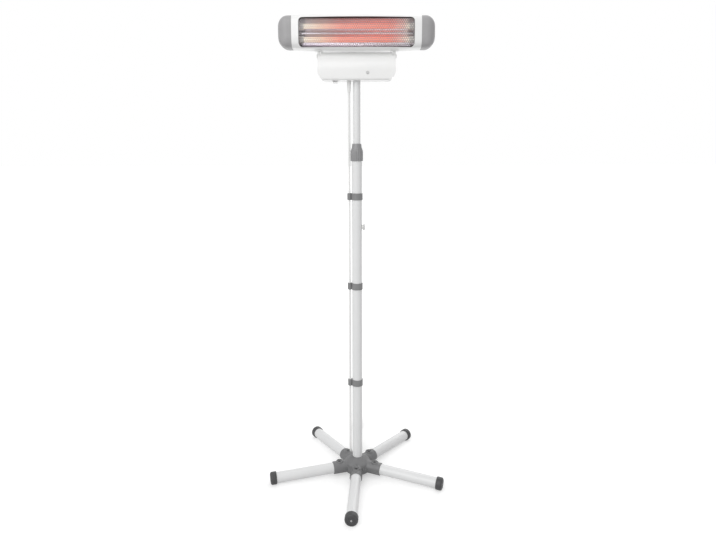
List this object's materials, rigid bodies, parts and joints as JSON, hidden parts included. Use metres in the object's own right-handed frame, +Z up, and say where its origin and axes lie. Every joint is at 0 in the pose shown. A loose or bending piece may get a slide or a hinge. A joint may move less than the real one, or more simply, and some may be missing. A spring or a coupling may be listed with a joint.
{
  "type": "changing table heater",
  "caption": "Free-standing radiant heater with quartz tubes behind a grille, tilting on a small control box, on a telescopic mast with a star foot, clipped lead and tied hank.",
  "frame": {"origin": "on the floor, under the middle of the heater's bounding box with the lead left out", "axes": "+Z up along the mast, -Y the front that the heater radiates to, +X to the right seen from the front"},
  "size_m": [0.5734, 0.6589, 1.488],
  "materials": {
    "casing": "white moulded plastic, satin gloss",
    "grey": "mid-grey moulded plastic",
    "dark_grey": "dark grey moulded plastic",
    "black": "near-black moulded plastic",
    "painted_tube": "white powder-coated steel tube",
    "steel": "plain bright steel",
    "mirror_sheet": "bright rolled aluminium sheet",
    "quartz": "milky quartz glass, glowing orange-red when on",
    "element": "resistance wire, glowing when on",
    "ceramic": "cream unglazed ceramic",
    "board": "green circuit board",
    "lead": "white flexible sheath",
    "strap": "black hook-and-loop strap"
  },
  "bodies": {
    "stand": {"hub": "dark_grey", "mast_plug": "black", "hub_bolt": "steel", "leg_1": "painted_tube", "leg_2": "painted_tube", "leg_3": "painted_tube", "leg_4": "painted_tube", "leg_5": "painted_tube", "foot_cap_1": "black", "foot_cap_2": "black", "foot_cap_3": "black", "foot_cap_4": "black", "foot_cap_5": "black", "lower_mast": "painted_tube", "collet": "black", "knob_insert": "steel", "cord_clip_1": "grey", "cord_clip_2": "grey", "cord_clip_3": "grey", "cord_run": "lead", "cord_hank": "lead", "hank_tie": "strap", "mains_plug": "black"},
    "lock_collar": {"lock_collar": "dark_grey"},
    "side_knob": {"side_knob": "grey"},
    "mast": {"mast_stem": "painted_tube", "guide_bush": "black", "box_front": "casing", "box_rear": "casing", "stem_socket": "black", "timer_board": "board", "terminal_block": "ceramic", "switch_frame": "grey", "cord_gland": "lead", "cord_riser": "lead"},
    "start_button": {"start_button": "grey"},
    "rocker_switch": {"rocker_switch": "grey"},
    "head": {"head_front": "casing", "head_rear": "casing", "grille": "steel", "reflector": "mirror_sheet", "quartz_tube_lower": "quartz", "quartz_tube_upper": "quartz", "heating_coil_lower": "element", "heating_coil_upper": "element", "ceramic_left_lower": "ceramic", "ceramic_left_upper": "ceramic", "ceramic_right_lower": "ceramic", "ceramic_right_upper": "ceramic", "thermal_cutout": "ceramic", "end_cap_left": "grey", "end_cap_right": "grey", "end_plate_left": "steel", "end_plate_right": "steel", "tilt_arm_left": "grey", "tilt_arm_right": "grey", "pivot_pin_left": "steel", "pivot_pin_right": "steel"}
  },
  "joints": [
    {"name": "collar_twist", "type": "hinge", "parent": "stand", "child": "lock_collar", "pos_m": [0.00459, 0.01912, 1.08], "axis": [0, 0, 1], "range_deg": [0, 120]},
    {"name": "knob_turn", "type": "hinge", "parent": "stand", "child": "side_knob", "pos_m": [0.02642, 0.01912, 0.847], "axis": [1, 0, 0], "range_deg": [0, 180]},
    {"name": "height_slide", "type": "slide", "parent": "stand", "child": "mast", "axis": [0, 0, 1], "range_m": [-0.15, 0.25], "deforming": ["cord_riser"]},
    {"name": "start_press", "type": "slide", "parent": "mast", "child": "start_button", "axis": [0, 1, 0], "range_m": [0, 0.0015], "stiffness_N_per_m": 800, "springref_m": -0.0006},
    {"name": "rocker_tip", "type": "hinge", "parent": "mast", "child": "rocker_switch", "pos_m": [-0.06041, 0.01912, 1.296], "axis": [1, 0, 0], "range_deg": [0, 16]},
    {"name": "head_tilt", "type": "hinge", "parent": "mast", "child": "head", "pos_m": [0.00459, 0.01912, 1.3685], "axis": [1, 0, 0], "range_deg": [-10, 40]}
  ]
}
